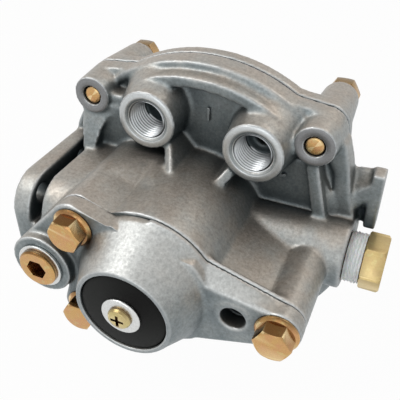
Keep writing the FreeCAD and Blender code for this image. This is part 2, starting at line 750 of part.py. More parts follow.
def rim_walls():
    """Walls that tie the upper lugs to the ports, the side boss and the mounting block."""
    outline = plate("left_web_outline", [
        ("-51.3", "25.4"), ("-45.7", "25.4"), ("-43.4", "34.6"), ("-40.8", "40.2"), ("-36.5", "43.5"),
        ("-30", "44.5"), ("-18.4", "44.5"), ("-18.4", "51"), ("-37.7", "51.2"), ("-47.5", "56"),
        ("-54.6", "49"), ("-54.2", "45"), ("-53.2", "39"), ("-53.0", "35")], "left_web_foot_y - 1",
        "flange_y")
    slope = side_plate("left_web_slope", [
        ("left_web_foot_y", "20"), ("left_web_foot_y", "mount_block_half_height"),
        ("left_web_front_y", "45"),
        ("left_web_front_y", "60"), ("flange_y", "60"), ("flange_y", "20")], "-60", "-15")
    web = common("left_lug_web", [outline, slope])
    shoulder = plate("left_shoulder", [
        ("-50", "20"), ("-30", "20"), ("-26", "40"), ("-31", "46"), ("-44", "46"), ("-50", "36")],
        "left_shoulder_front_y", "flange_y")
    rib = plate("side_rib", [
        ("46.6", "39"), ("51.6", "40"), ("59.4", "8"), ("53.4", "8")], "side_rib_front_y", "flange_y")
    wall = plate("side_wall", [
        ("59.8", "8"), ("67.2", "8"), ("66.8", "14"), ("63.2", "37"), ("60.5", "46"), ("54", "52"),
        ("47", "44"), ("53", "40"), ("57", "34")], "side_wall_front_y", "flange_y")
    return [web, shoulder, rib, wall]


def upright_plate(name, face_x, thickness, front_y, back_y, half_height, corner):
    """A plate across X with rounded front corners."""
    body = doc.addObject("PartDesign::Body", name)
    sketch = new_sketch(body, "YZ_Plane")
    draw_outline(sketch, [
        (front_y, f"-({half_height})"), (back_y, f"-({half_height})"), (back_y, half_height),
        (front_y, half_height)])
    pad = body.newObject("PartDesign::Pad", f"{name}_Pad")
    pad.Profile = (sketch, [""])
    bind(pad, Length=thickness)
    doc.recompute()
    corners = [f"Edge{index}" for index, edge in enumerate(pad.Shape.Edges, start=1)
               if abs(edge.CenterOfMass.y - size(front_y)) < 0.01
               and abs(abs(edge.CenterOfMass.z) - size(half_height)) < 0.01]
    fillet = body.newObject("PartDesign::Fillet", f"{name}_Corners")
    fillet.Base = (pad, corners)
    bind(fillet, Radius=corner)
    body.Tip = fillet
    place(body, face_x, "0", "0")
    return body


def mounting_plate():
    """Plate that is bolted to the air tank, and the block behind it."""
    face = upright_plate("mount_plate", "-mount_plate_face_x", "mount_plate_thickness",
        "mount_plate_front_y",
                         "panel_y + 2", "mount_plate_half_height", "mount_plate_corner")
    block = upright_plate("mount_block", "-mount_block_x", "mount_block_x - tube_radius + 6",
        "mount_block_front_y",
                          "panel_y + 2", "mount_block_half_height", "mount_block_corner")
    boss = side_cylinder("mount_boss", "mount_boss_radius", "-mount_plate_face_x", "-tube_radius + 6",
        "mount_port_y")
    return [face, block, boss]


def wing():
    """Thin plate at the right of the flange, tied to it by a sloping gusset."""
    upright = box("wing_plate", ("wing_inner_x", "wing_front_y", "wing_bottom_z"),
                  ("wing_outer_x", "flange_y", "wing_top_z"))
    gusset = loft("wing_gusset", [
        ("62", "10"), ("69.8", "19.8"), ("wing_outer_x", "wing_top_z - 0.8"), ("62", "21")], "wing_front_y",
        [
        ("60", "8"), ("69.8", "10"), ("wing_outer_x", "wing_top_z"), ("60", "wing_top_z - 1.8")], "flange_y")
    web = box("wing_web", ("60", "flange_y - 4", "wing_bottom_z"),
        ("wing_outer_x", "flange_y", "wing_top_z - 8"))
    return [upright, gusset, web]


def body_cavities():
    """Everything that is bored, drilled and tapped in the main casting."""
    bore = turned("body_bore", [
        ("0", "cover_depth - 1"), ("front_bore_radius + 0.6", "cover_depth - 1"),
        ("front_bore_radius + 0.6", "cover_depth"), ("front_bore_radius", "cover_depth + 0.5"),
        ("front_bore_radius", "ring_front_y - 0.1"), ("ring_groove_radius", "ring_front_y - 0.1"),
        ("ring_groove_radius", "ring_front_y + ring_thickness + 0.1"),
        ("front_bore_radius", "ring_front_y + ring_thickness + 0.1"), ("front_bore_radius", "seat_y"),
        ("seat_bore_radius + seat_lip_width", "seat_y"),
        ("seat_bore_radius + seat_lip_width", "seat_y - seat_lip_rise"),
        ("seat_bore_radius", "seat_y - seat_lip_rise"), ("seat_bore_radius", "seat_y + seat_web_thickness"),
        ("rear_bore_radius", "seat_y + seat_web_thickness"), ("rear_bore_radius", "dish_y"),
        ("dish_radius", "dish_y"), ("dish_radius", "flange_y + 1"), ("0", "flange_y + 1")])
    tools = [bore]
    for name, angle in PORTS.items():
        x, z = polar("port_circle_radius", angle)
        tools.append(cylinder(f"port_{name}_bore", "port_bore_radius", "port_front_y - 1",
                              "port_front_y + port_bore_depth", x, z))
        tools.append(cone(f"port_{name}_mouth", "port_bore_radius + 1.3", "port_bore_radius",
            "port_front_y - 0.3",
                          "port_front_y + 1", x, z))
    x, z = polar("port_circle_radius", "port_b_angle")
    tools.append(cylinder("service_passage", "port_passage_radius", "port_front_y", "flange_y + 1", x, z))
    tools.append(supply_passage())
    for index, angle in enumerate(LUG_ANGLES):
        x, z = polar("lug_circle_radius", angle)
        tools.append(cylinder(f"body_lug_hole_{index}", "cover_bolt_hole_radius", "lug_front_y - 1",
            "flange_y + 1",
                              x, z))
    for index, (x, z) in enumerate(LOBES):
        tools.append(cylinder(f"body_bolt_hole_{index}", "bolt_radius + tapped_gap", "cover_depth - 1",
                              f"{ARM_FRONT} + lower_bolt_length + 3", x, z))
    tools.append(cylinder("body_arm_hole", "arm_hole_radius", "cover_depth - 1",
        f"{ARM_FRONT} + arm_hole_depth",
                          "arm_hole_x"))
    tools.append(cylinder("check_bore", "plug_bore_radius", "cover_depth - 1", CHECK_SEAT, "-plug_boss_x"))
    tools.append(cylinder("check_passage", "check_passage_radius", "cover_depth", "supply_passage_y",
        "-plug_boss_x"))
    tools.append(side_cylinder("check_outlet", "check_passage_radius / 2", "-plug_boss_x",
        "-front_bore_radius + 2",
                               "guide_front_y + guide_flange_thickness + 2.5"))
    tools.append(side_cylinder("side_bore", "side_bore_radius", "side_port_face_x - side_bore_depth",
                               "side_port_face_x + 1", "side_port_y"))
    tools.append(side_cylinder("side_seat", "side_seat_radius", "side_port_face_x", "wing_inner_x - 0.2",
                               "side_port_y"))
    tools.append(side_cylinder("side_passage", "side_passage_radius", "0", "side_port_face_x",
        "side_port_y"))
    tools.append(side_cylinder("mount_bore", "mount_bore_radius", "-mount_plate_face_x - 1",
                               "-mount_plate_face_x + mount_bore_depth", "mount_port_y"))
    tools.append(side_cylinder("mount_passage", "mount_passage_radius",
        "-mount_plate_face_x + mount_bore_depth - 0.5",
                               "-front_bore_radius + 6", "mount_passage_y", "-mount_passage_z"))
    for index, (along, up) in enumerate(((1, 1), (1, -1), (-1, 1), (-1, -1))):
        tools.append(side_cylinder(f"mount_hole_{index}", "mount_hole_radius", "-mount_plate_face_x - 1",
                                   "-mount_plate_face_x + mount_plate_thickness + 1",
                                   f"mount_port_y + {along} * mount_hole_y_reach",
                                   f"{up} * mount_hole_z_reach"))
    return tools


def supply_passage():
    """Slanted drilling from port A to the check valve's passage."""
    start_x, start_z = size("-plug_boss_x"), 0.0
    x, z = (size(text) for text in polar("port_circle_radius", "port_a_angle"))
    item = doc.addObject("Part::Cylinder", "supply_passage")
    bind(item, Radius="supply_passage_radius")
    item.Height = math.hypot(x - start_x, z - start_z)
    direction = FreeCAD.Vector(x - start_x, 0, z - start_z)
    place(item, "-plug_boss_x", "supply_passage_y", "0",
        FreeCAD.Rotation(FreeCAD.Vector(0, 0, 1), direction))
    return item


def make_relay_cover():
    """Cast cover over the relay piston, with four bolt columns and ribs."""
    gasket_back = "(flange_y + gasket_thickness)"
    outer = "(cover_bore_radius + cover_wall)"
    shell = turned("cap_shell", [
        ("0", gasket_back), ("flange_radius", gasket_back),
        ("flange_radius", "flange_y + cover_flange_thickness"),
        (f"{outer} + 2", "flange_y + cover_flange_thickness"), (outer, "cover_end_y - 5"),
        (f"{outer} - 5", "cover_end_y"), ("0", "cover_end_y")])
    solids = [shell]
    for index, angle in enumerate(LUG_ANGLES):
        x, z = polar("lug_circle_radius", angle)
        solids.append(ear(f"cap_ear_{index}", angle, gasket_back, "flange_y + cover_flange_thickness"))
        solids.append(cone(f"cap_lug_{index}", "lug_column_radius", "cover_lug_end_radius", gasket_back,
                           "cover_end_y", x, z))
        rib = box(f"cap_rib_{index}", ("0", "0", "0"),
                  ("lug_circle_radius - cover_bore_radius - 2", "cover_end_y - flange_y - 7",
                  "cover_rib_width"))
        rib.setExpression("Placement.Base.x", linked(
            f"(cover_bore_radius + 2) * cos(({angle}) * 1deg) + cover_rib_width / 2 * sin(({angle}) * 1deg)"))
        rib.setExpression("Placement.Base.y", linked("flange_y + 1"))
        rib.setExpression("Placement.Base.z", linked(
            f"(cover_bore_radius + 2) * sin(({angle}) * 1deg) - cover_rib_width / 2 * cos(({angle}) * 1deg)"))
        rib.Placement.Rotation = FreeCAD.Rotation(FreeCAD.Vector(0, 1, 0), -size(angle))
        solids.append(rib)
    x, z = polar("port_circle_radius", "port_b_angle")
    solids.append(cylinder("cap_passage_boss", "port_passage_radius + 4", gasket_back,
        "cover_bore_end_y + 2", x, z))
    outside = fuse("cap_outside", solids)
    stop_front = "relay_piston_front_y + relay_piston_thickness + 0.3"
    cavity = turned("cap_cavity", [
        ("0", "flange_y - 1"), ("cover_bore_radius", "flange_y - 1"),
        ("cover_bore_radius", "cover_bore_end_y"),
        ("cover_stop_radius", "cover_bore_end_y"), ("cover_stop_radius", stop_front), ("0", stop_front)])
    tools = [cavity, cylinder("cap_passage", "port_passage_radius", "flange_y - 1", "cover_bore_end_y - 2",
        x, z)]
    slot = box("cap_passage_slot", ("0", "0", "0"), ("port_circle_radius - cover_bore_radius + 6", "5", "4"))
    slot.setExpression("Placement.Base.x", linked(
        "(cover_bore_radius - 6) * cos(port_b_angle * 1deg) + 2 * sin(port_b_angle * 1deg)"))
    slot.setExpression("Placement.Base.y", linked("cover_bore_end_y - 7"))
    slot.setExpression("Placement.Base.z", linked(
        "(cover_bore_radius - 6) * sin(port_b_angle * 1deg) - 2 * cos(port_b_angle * 1deg)"))
    slot.Placement.Rotation = FreeCAD.Rotation(FreeCAD.Vector(0, 1, 0), -size("port_b_angle"))
    tools.append(slot)
    tools.append(mount_clearance("cap_mount_clearance"))
    for index, angle in enumerate(LUG_ANGLES):
        x, z = polar("lug_circle_radius", angle)
        tools.append(cylinder(f"cap_bolt_hole_{index}", "cover_bolt_hole_radius", "flange_y - 1",
            "cover_end_y + 1",
                              x, z))
    return cut("relay_cover", outside, tools)


def make_seals():
    """Gasket under the relay cover and the ring in the exhaust cover's groove."""
    disc = cylinder("gasket_disc", "flange_radius - 0.5", "flange_y", "flange_y + gasket_thickness")
    holes = [cylinder("gasket_centre", "dish_radius", "flange_y - 1", "flange_y + 2"),
             mount_clearance("gasket_mount_clearance")]
    for index, angle in enumerate(LUG_ANGLES):
        x, z = polar("lug_circle_radius", angle)
        holes.append(cylinder(f"gasket_hole_{index}", "cover_bolt_hole_radius", "flange_y - 1",
            "flange_y + 2", x, z))
    x, z = polar("port_circle_radius", "port_b_angle")
    holes.append(cylinder("gasket_passage", "port_passage_radius", "flange_y - 1", "flange_y + 2", x, z))
    ring = turned("exhaust_cover_seal", [
        ("front_bore_radius + 1.8", "cover_depth - 1.9"), ("front_bore_radius + 3.8", "cover_depth - 1.9"),
        ("front_bore_radius + 3.8", "cover_depth"), ("front_bore_radius + 1.8", "cover_depth")])
    return [cut("relay_cover_gasket", disc, holes), ring]


def make_socket_plug():
    """Plug with a hexagon socket, its washer, and the check valve behind it."""
    seat = f"({BOSS_FRONT} - plug_washer_thickness)"
    blank = turned("socket_plug_blank", [
        ("0", f"{seat} - plug_head_height"), ("plug_head_radius - 0.7", f"{seat} - plug_head_height"),
        ("plug_head_radius", f"{seat} - plug_head_height + 0.7"), ("plug_head_radius", seat),
        ("plug_bore_radius - 0.1", seat), ("plug_bore_radius - 0.1", f"{seat} + plug_shank_length"),
        ("0", f"{seat} + plug_shank_length")])
    socket = prism("plug_socket", "plug_socket_hexagon", f"{seat} - plug_head_height - 1",
                   f"{seat} - plug_head_height + plug_socket_depth")
    plug = cut("socket_plug", blank, [socket])
    place(plug, "-plug_boss_x")
    washer = turned("socket_plug_washer", [
        ("plug_bore_radius", seat), ("plug_washer_radius", seat),
        ("plug_washer_radius", BOSS_FRONT), ("plug_bore_radius", BOSS_FRONT)], "-plug_boss_x")
    face_front = f"({CHECK_SEAT} - check_face_thickness)"
    valve = turned("check_valve", [
        ("0", face_front), ("plug_bore_radius - check_valve_gap", face_front),
        ("plug_bore_radius - check_valve_gap", f"{face_front} - 2.4"),
        ("check_spring_radius - check_spring_wire - 0.5", f"{face_front} - 2.4"),
        ("check_spring_radius - check_spring_wire - 0.5", f"{face_front} - check_valve_length"),
        ("0", f"{face_front} - check_valve_length")], "-plug_boss_x")
    face = turned("check_valve_face", [
        ("0", face_front), ("plug_bore_radius - 1", face_front), ("plug_bore_radius - 1", CHECK_SEAT),
        ("0", CHECK_SEAT)],
        "-plug_boss_x")
    spring = coil("check_valve_spring", "check_spring_radius", "check_spring_wire",
        f"{seat} + plug_shank_length",
                  f"{face_front} - 2.4", 4, "-plug_boss_x")
    return [plug, washer, valve, face, spring]


def make_side_plug():
    """Hexagon plug in the side port, sealed with thread tape."""
    blank = turned("side_plug_blank", [
        ("0", "-side_plug_thread_length"), ("side_bore_radius - side_plug_thread_gap",
        "-side_plug_thread_length"),
        ("side_bore_radius - side_plug_thread_gap", "side_plug_hex_start"), ("0", "side_plug_hex_start")])
    hexagon = prism("side_plug_hexagon_bar", "side_plug_hexagon", "side_plug_hex_start",
                    "side_plug_hex_start + side_plug_hex_length")
    rounding = turned("side_plug_rounding", [
        ("0", "side_plug_hex_start"), ("side_plug_hexagon / 2 + 0.9", "side_plug_hex_start"),
        ("side_plug_hexagon / 2 + 1.7", "side_plug_hex_start + 0.6"),
        ("side_plug_hexagon / 2 + 1.7", "side_plug_hex_start + side_plug_hex_length - 1"),
        ("side_plug_hexagon / 2 + 0.4", "side_plug_hex_start + side_plug_hex_length"),
        ("0", "side_plug_hex_start + side_plug_hex_length")])
    head = common("side_plug_head", [hexagon, rounding])
    plug = fuse("side_plug", [blank, head])
    tape = turned("side_plug_tape", [
        ("side_bore_radius", "0.1"), ("tape_radius", "0.1"), ("tape_radius + 0.2", "tape_length / 2"),
        ("tape_radius", "tape_length"), ("side_bore_radius", "tape_length")])
    for item in (plug, tape):
        place(item, "side_port_face_x", "side_port_y", "0", FreeCAD.Rotation(FreeCAD.Vector(0, 0, 1), -90))
    return [plug, tape]


def make_relay_piston():
    """Relay piston with its stem and its ring seal."""
    front, back = "relay_piston_front_y", "relay_piston_front_y + relay_piston_thickness"
    outer = "cover_bore_radius - relay_piston_clearance"
    groove = "(relay_piston_front_y + relay_piston_thickness / 2 - seal_section / 2)"
    stem_end = "(seat_y - seat_lip_rise + relay_travel + relay_contact_gap)"
    piston = turned("relay_piston", [
        ("0", f"{stem_end} + 3"), ("relay_stem_radius - 1.8", f"{stem_end} + 3"),
        ("relay_stem_radius - 1.4", stem_end), ("relay_stem_radius - 0.6", stem_end),
        ("relay_stem_radius", f"{stem_end} + 1"), ("relay_stem_radius", f"{front} - 3"),
        ("relay_stem_radius + 3", front), (outer, front), (outer, groove),
        (f"{outer} - seal_section", groove), (f"{outer} - seal_section", f"{groove} + seal_section"),
        (outer, f"{groove} + seal_section"), (outer, back), ("relay_piston_hollow_radius", back),
        ("relay_piston_hollow_radius", f"{front} + relay_piston_web"),
        ("cover_stop_radius + 2", f"{front} + relay_piston_web"), ("cover_stop_radius + 2", back),
        ("0", back)])
    seal = turned("relay_piston_seal", [
        (f"{outer} - seal_section", groove), ("cover_bore_radius - seal_gap", groove),
        ("cover_bore_radius - seal_gap", f"{groove} + seal_section"),
        (f"{outer} - seal_section", f"{groove} + seal_section")])
    return [piston, seal]


def make_inlet_valve():
    """Inlet and exhaust valve with its rubber, spring, guide and retaining ring."""
    rubber_back = "(seat_y - seat_lip_rise)"
    rubber_front = f"({rubber_back} - valve_rubber_thickness)"
    head_front = f"({rubber_front} - valve_head_thickness)"
    valve = turned("inlet_exhaust_valve", [
        ("valve_tube_bore_radius", "valve_tube_front_y"), ("valve_tube_radius", "valve_tube_front_y"),
        ("valve_tube_radius", head_front), ("valve_head_radius", head_front),
        ("valve_head_radius", rubber_front),
        ("valve_tube_bore_radius", rubber_front)])
    rubber = turned("inlet_valve_rubber", [
        ("valve_tube_bore_radius", rubber_front), ("valve_head_radius - 0.6", rubber_front),
        ("valve_head_radius - 0.6", rubber_back), ("valve_tube_bore_radius", rubber_back)])
    flange_back = "(guide_front_y + guide_flange_thickness)"
    outer = "front_bore_radius - guide_flange_gap"
    guide = turned("valve_guide", [
        ("valve_tube_radius + guide_bore_gap", "guide_front_y"), (outer, "guide_front_y"),
        (outer, "guide_front_y + 0.9"), (f"{outer} - 2.2", "guide_front_y + 0.9"),
        (f"{outer} - 2.2", f"{flange_back} - 0.9"), (outer, f"{flange_back} - 0.9"), (outer, flange_back),
        ("guide_hub_radius", flange_back), ("guide_hub_radius", "guide_front_y + guide_hub_length"),
        ("valve_tube_radius + guide_bore_gap", "guide_front_y + guide_hub_length")])
    guide_seal = turned("valve_guide_seal", [
        (f"{outer} - 2.2", "guide_front_y + 0.9"), (outer, "guide_front_y + 0.9"),
        (outer, f"{flange_back} - 0.9"), (f"{outer} - 2.2", f"{flange_back} - 0.9")])
    ring = turned("retaining_ring", [
        ("ring_inner_radius", "ring_front_y"), ("ring_groove_radius - 0.2", "ring_front_y"),
        ("ring_groove_radius - 0.2", "ring_front_y + ring_thickness"),
        ("ring_inner_radius", "ring_front_y + ring_thickness")])
    spring = coil("inlet_valve_spring", "inlet_spring_radius", "inlet_spring_wire", flange_back, head_front,
        4)
    return [valve, rubber, guide, guide_seal, ring, spring]


def make_emergency_piston():
    """Ring piston round the inlet valve, with its seal and spring."""
    back = "(seat_y - emergency_rest_gap)"
    front = f"({back} - emergency_length)"
    outer = "front_bore_radius - emergency_clearance"
    groove = f"({front} + 2.2)"
    piston = turned("emergency_piston", [
        ("emergency_inner_radius", front), (outer, front), (outer, groove),
        (f"{outer} - seal_section", groove), (f"{outer} - seal_section", f"{groove} + seal_section"),
        (outer, f"{groove} + seal_section"), (outer, back), ("emergency_inner_radius", back)])
    seal = turned("emergency_piston_seal", [
        (f"{outer} - seal_section", groove), ("front_bore_radius - seal_gap", groove),
        ("front_bore_radius - seal_gap", f"{groove} + seal_section"),
        (f"{outer} - seal_section", f"{groove} + seal_section")])
    spring = coil("emergency_spring", "emergency_spring_radius", "emergency_spring_wire",
                  "guide_front_y + guide_flange_thickness", front, 3)
    return [piston, seal, spring]


def finish(items):
    """Bring each sub-part to the mounting face's centre, check it and write it."""
    doc.recompute()
    moved = []
    for item in items:
        holder = doc.addObject("Part::Compound", item.Name + "_placed")
        holder.Links = [item]
        place(holder, "mount_plate_face_x", "-mount_port_y", "0")
        item.Label = item.Name + " drawing"
        holder.Label = item.Name
        moved.append((item.Name, holder))
    doc.recompute()
    for item in doc.Objects:
        if "Invalid" in item.State or "Error" in item.State:
            raise RuntimeError(f"{item.Name} failed: {item.State}")
    for name, holder in moved:
        shape = holder.Shape
        if shape.isNull() or not shape.isValid() or not shape.Solids:
            raise RuntimeError(f"{name} has no valid shape")
        print(name, len(shape.Solids), round(shape.Volume))
        shape.exportStep(f"parts/{name}.step")


def main():
    items = [make_exhaust_cover(), *make_flap(), *make_bolts(), make_valve_body(), make_relay_cover(),
        *make_seals(),
             *make_socket_plug(), *make_side_plug(), *make_relay_piston(), *make_inlet_valve(),
             *make_emergency_piston()]
    finish(items)


main()
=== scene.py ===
import math

import bmesh
import bpy
import numpy as np
from mathutils import Matrix, Vector

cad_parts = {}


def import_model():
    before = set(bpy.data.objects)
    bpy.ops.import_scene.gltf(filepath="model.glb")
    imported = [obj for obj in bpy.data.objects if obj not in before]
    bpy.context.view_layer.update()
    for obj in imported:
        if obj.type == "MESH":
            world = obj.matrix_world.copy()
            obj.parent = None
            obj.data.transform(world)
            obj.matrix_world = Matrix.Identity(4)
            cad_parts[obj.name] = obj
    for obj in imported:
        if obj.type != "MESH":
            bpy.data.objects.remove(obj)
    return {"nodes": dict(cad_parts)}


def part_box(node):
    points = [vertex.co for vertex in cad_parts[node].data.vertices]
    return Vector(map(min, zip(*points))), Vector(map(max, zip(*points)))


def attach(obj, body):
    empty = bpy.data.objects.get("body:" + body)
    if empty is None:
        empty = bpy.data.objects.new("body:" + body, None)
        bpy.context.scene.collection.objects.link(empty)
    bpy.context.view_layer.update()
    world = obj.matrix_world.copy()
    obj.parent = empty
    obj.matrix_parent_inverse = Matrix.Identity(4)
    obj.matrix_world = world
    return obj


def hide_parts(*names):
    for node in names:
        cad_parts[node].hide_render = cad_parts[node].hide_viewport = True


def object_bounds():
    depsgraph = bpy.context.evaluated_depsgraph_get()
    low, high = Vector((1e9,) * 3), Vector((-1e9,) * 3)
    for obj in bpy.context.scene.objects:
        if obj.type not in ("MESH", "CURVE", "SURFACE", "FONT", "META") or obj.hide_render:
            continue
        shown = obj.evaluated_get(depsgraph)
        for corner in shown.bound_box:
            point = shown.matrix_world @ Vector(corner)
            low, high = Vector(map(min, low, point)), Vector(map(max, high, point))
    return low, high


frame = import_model()
cad_low, cad_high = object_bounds()

# Drawing coordinates are millimetres about the valve's main axis:
# X to the side plug, Y from the exhaust to the relay cover, Z up.
MM = 0.001
SHIFT = Vector((63.5, -48.0, 0.0))
PORT_CIRCLE = 50.45
PORT_ANGLES = {"supply": 111.4, "service": 57.0}
LUG_CIRCLE = 68.8
LUG_ANGLES = [43.7, 133.7, 223.7, 313.7]


def world(x, y, z):
    """A point of the drawing as a point of the scene, in metres."""
    return (Vector((x, y, z)) + SHIFT) * MM


def polar(radius, angle):
    turn = math.radians(angle)
    return radius * math.cos(turn), radius * math.sin(turn)


# Camera

camera_data = bpy.data.cameras.new("camera")
camera_data.lens = 51.36
camera_data.sensor_width = 36.0
camera_data.clip_start = 0.01
camera_data.clip_end = 20
camera = bpy.data.objects.new("camera", camera_data)
bpy.context.scene.collection.objects.link(camera)
AZIMUTH, ELEVATION = math.radians(23.6), math.radians(36.4)
back = Vector((math.sin(AZIMUTH) * math.cos(ELEVATION), -math.cos(AZIMUTH) * math.cos(ELEVATION),
               math.sin(ELEVATION)))
camera.location = world(84.0, -120.4, 158.5)
camera.rotation_mode = "QUATERNION"
camera.rotation_quaternion = (-back).to_track_quat("-Z", "Y")
bpy.context.scene.camera = camera
bpy.context.scene.view_settings.view_transform = "Standard"


# Materials

class Nodes:
    """Small helper to build a material's node tree."""

    def __init__(self, name):
        self.material = bpy.data.materials.new(name)
        self.material.use_nodes = True
        self.tree = self.material.node_tree
        self.shader = self.tree.nodes["Principled BSDF"]
        self.coordinates = self.add("ShaderNodeTexCoord").outputs["Object"]

    def add(self, kind, **values):
        node = self.tree.nodes.new(kind)
        for key, value in values.items():
            if hasattr(node, key):
                setattr(node, key, value)
            else:
                node.inputs[key].default_value = value
        return node

    def link(self, source, target):
        self.tree.links.new(source, target)

    def noise(self, scale, detail=2.0, rough=0.5, vector=None, stretch=None):
        node = self.add("ShaderNodeTexNoise")
        node.inputs["Scale"].default_value = scale
        node.inputs["Detail"].default_value = detail
        node.inputs["Roughness"].default_value = rough
        source = vector or self.coordinates
        if stretch:
            mapping = self.add("ShaderNodeMapping")
            mapping.inputs["Scale"].default_value = stretch
            self.link(source, mapping.inputs["Vector"])
            source = mapping.outputs["Vector"]
        self.link(source, node.inputs["Vector"])
        return node.outputs["Fac"]

    def ramp(self, source, stops):
        node = self.add("ShaderNodeValToRGB")
        elements = node.color_ramp.elements
        for index, (place, color) in enumerate(stops):
            element = elements[index] if index < 2 else elements.new(place)
            element.position = place
            element.color = (*color, 1) if len(color) == 3 else color
        self.link(source, node.inputs["Fac"])
        return node.outputs["Color"]

    def span(self, source, low, high, new_low, new_high):
        node = self.add("ShaderNodeMapRange")
        for key, value in zip(("From Min", "From Max", "To Min", "To Max"), (low, high, new_low, new_high)):
            node.inputs[key].default_value = value
        self.link(source, node.inputs["Value"])
        return node.outputs["Result"]

    def math(self, operation, first, second=None):
        node = self.add("ShaderNodeMath", operation=operation)
        for index, value in enumerate((first, second)):
            if value is None:
                continue
            if isinstance(value, (int, float)):
                node.inputs[index].default_value = value
            else:
                self.link(value, node.inputs[index])
        return node.outputs["Value"]

    def mix(self, factor, first, second, blend="MIX"):
        node = self.add("ShaderNodeMix", data_type="RGBA", blend_type=blend)
        for value, socket in ((factor, 0), (first, 6), (second, 7)):
            if isinstance(value, (int, float)):
                node.inputs[socket].default_value = value
            elif isinstance(value, tuple):
                node.inputs[socket].default_value = (*value, 1)
            else:
                self.link(value, node.inputs[socket])
        return node.outputs[2]

    def bump(self, height, strength, distance, under=None):
        node = self.add("ShaderNodeBump")
        node.inputs["Strength"].default_value = strength
        node.inputs["Distance"].default_value = distance
        self.link(height, node.inputs["Height"])
        if under:
            self.link(under, node.inputs["Normal"])
        return node.outputs["Normal"]

    def finish(self, color, roughness, normal=None, **constants):
        for key, value in constants.items():
            self.shader.inputs[key.replace("_", " ")].default_value = value
        for value, key in ((color, "Base Color"), (roughness, "Roughness"), (normal, "Normal")):
            if value is None:
                continue
            if isinstance(value, (int, float)):
                self.shader.inputs[key].default_value = value
            elif isinstance(value, tuple):
                self.shader.inputs[key].default_value = (*value, 1)
            else:
                self.link(value, self.shader.inputs[key])
        return self.material


def cast_aluminium():
    """Sand-speckled satin casting with painted light: warm painted light on top and cool painted shade to the front
    and below, a painted highlight where it slopes up to the front, edges lightened partly by wear and partly as a
    painted highlight, and painted shade in its corners.
    """
    n = Nodes("cast_aluminium")
    geometry = n.add("ShaderNodeNewGeometry")
    facing = n.add("ShaderNodeSeparateXYZ")
    n.link(geometry.outputs["Normal"], facing.inputs["Vector"])
    up, back = facing.outputs["Z"], facing.outputs["Y"]
    blotch = n.span(n.noise(90, 3.0, 0.55), 0.3, 0.7, -0.3, 0.3)
    # Painted light and shade: the base colour runs from cool and dark on surfaces facing down or to the front to warm
    # and light on surfaces facing up, with random blotches.
    painted_light_facing = n.math("ADD", n.math("ADD", up, n.math("MULTIPLY", back, 0.35)), blotch)
    color = n.ramp(n.span(painted_light_facing, -0.8, 1.1, 0, 1), [
        (0.0, (0.20, 0.24, 0.255)), (0.35, (0.32, 0.355, 0.36)), (0.62, (0.43, 0.44, 0.425)),
        (0.85, (0.47, 0.44, 0.395)), (1.0, (0.47, 0.42, 0.365))])
    # Painted highlight: a light grey on surfaces that slope up to the front, only in front of Y 26 of the drawing.
    slope = n.math("SUBTRACT", n.math("MULTIPLY", up, 0.85), n.math("MULTIPLY", back, 0.53))
    front = n.span(back, -0.3, -0.45, 0, 1)
    place = n.add("ShaderNodeSeparateXYZ")
    n.link(n.coordinates, place.inputs["Vector"])
    nose = n.span(place.outputs["Y"], world(0, 26, 0).y, world(0, 21, 0).y, 0, 1)
    painted_highlight = n.math("MULTIPLY", n.span(slope, 0.55, 0.98, 0, 0.85), n.math("MULTIPLY", front, nose))
    color = n.mix(painted_highlight, color, (0.62, 0.64, 0.63))
    grit = n.noise(760, 2.5, 0.75)
    color = n.mix(0.9, color, n.ramp(grit, [(0.3, (0.62, 0.62, 0.62)), (0.7, (1.0, 1.0, 1.0))]), "MULTIPLY")
    # Edges lightened by pointiness: partly edge wear, partly a painted edge highlight.
    wear_and_edge_highlight = n.span(geometry.outputs["Pointiness"], 0.51, 0.59, 0, 0.75)
    color = n.mix(wear_and_edge_highlight, color, (0.80, 0.82, 0.83))
    # Painted shade: the colour turns dark blue-grey in corners, recesses and under the ports, where ambient occlusion
    # finds the surface hemmed in.
    hidden = n.add("ShaderNodeAmbientOcclusion", samples=8)
    hidden.inputs["Distance"].default_value = 0.034
    shade = n.span(hidden.outputs["AO"], 0.2, 0.82, 0.9, 0.0)
    color = n.mix(shade, color, (0.018, 0.03, 0.036))
    rough = n.span(n.noise(900, 2.0), 0.3, 0.7, 0.36, 0.52)
    grain = n.bump(grit, 0.5, 0.00015)
    skin = n.bump(n.noise(260, 3.0, 0.5), 0.25, 0.0004, grain)
    return n.finish(color, rough, skin, Metallic=0.65)


def machined(name, center, color, marks=1300.0, rough=0.28):
    """Turned metal with rings about an axis along Y through the centre."""
    n = Nodes(name)
    parts = n.add("ShaderNodeSeparateXYZ")
    n.link(n.coordinates, parts.inputs["Vector"])
    across = n.math("SUBTRACT", parts.outputs["X"], center[0])
    up = n.math("SUBTRACT", parts.outputs["Z"], center[2])
    radius = n.math("SQRT", n.math("ADD", n.math("MULTIPLY", across, across), n.math("MULTIPLY", up, up)))
    line = n.add("ShaderNodeCombineXYZ")
    n.link(radius, line.inputs["X"])
    rings = n.noise(marks, 3.0, 0.7, line.outputs["Vector"])
    grit = n.noise(1700, 2.0, 0.6)
    tone = n.mix(0.75, color, n.ramp(rings, [(0.3, (0.62, 0.62, 0.62)), (0.7, (1, 1, 1))]), "MULTIPLY")
    tone = n.mix(0.35, tone, n.ramp(grit, [(0.35, (0.6, 0.6, 0.6)), (0.65, (1, 1, 1))]), "MULTIPLY")
    return n.finish(tone, n.span(rings, 0.3, 0.7, rough, rough + 0.14), n.bump(rings, 0.25, 0.0001), Metallic=0.9)


